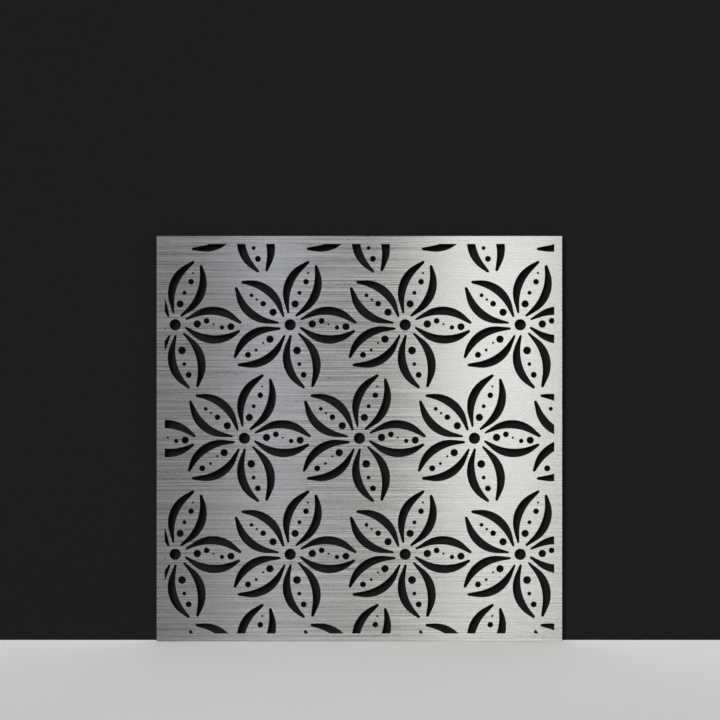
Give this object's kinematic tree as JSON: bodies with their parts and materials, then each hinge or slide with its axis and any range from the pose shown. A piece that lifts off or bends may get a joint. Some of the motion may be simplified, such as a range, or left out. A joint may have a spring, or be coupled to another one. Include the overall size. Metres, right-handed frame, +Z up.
{
  "type": "laser cut metal screen",
  "caption": "Square decorative metal screen with a laser-cut flower pattern inside a plain border, kept flat by a slim angle frame behind its edges.",
  "frame": {"origin": "on the floor, under the middle of the screen's width and of its depth", "axes": "+X to the right of someone facing the screen, -Y out of its patterned face, +Z up"},
  "size_m": [1.2, 0.022, 1.2],
  "materials": {
    "sheet": "brushed stainless steel with a fine level grain",
    "frame": "mill-finish stainless steel, dull and lightly drawn along its length",
    "stud": "plain stainless steel thread",
    "nut": "bright stainless steel"
  },
  "bodies": {
    "root": {"screen_panel": "sheet", "frame_bottom": "frame", "stud_bottom_1": "stud", "nut_bottom_1": "nut", "stud_bottom_2": "stud", "nut_bottom_2": "nut", "stud_bottom_3": "stud", "nut_bottom_3": "nut", "stud_bottom_4": "stud", "nut_bottom_4": "nut", "frame_right": "frame", "stud_right_1": "stud", "nut_right_1": "nut", "stud_right_2": "stud", "nut_right_2": "nut", "stud_right_3": "stud", "nut_right_3": "nut", "stud_right_4": "stud", "nut_right_4": "nut", "frame_top": "frame", "stud_top_1": "stud", "nut_top_1": "nut", "stud_top_2": "stud", "nut_top_2": "nut", "stud_top_3": "stud", "nut_top_3": "nut", "stud_top_4": "stud", "nut_top_4": "nut", "frame_left": "frame", "stud_left_1": "stud", "nut_left_1": "nut", "stud_left_2": "stud", "nut_left_2": "nut", "stud_left_3": "stud", "nut_left_3": "nut", "stud_left_4": "stud", "nut_left_4": "nut"}
  },
  "joints": []
}
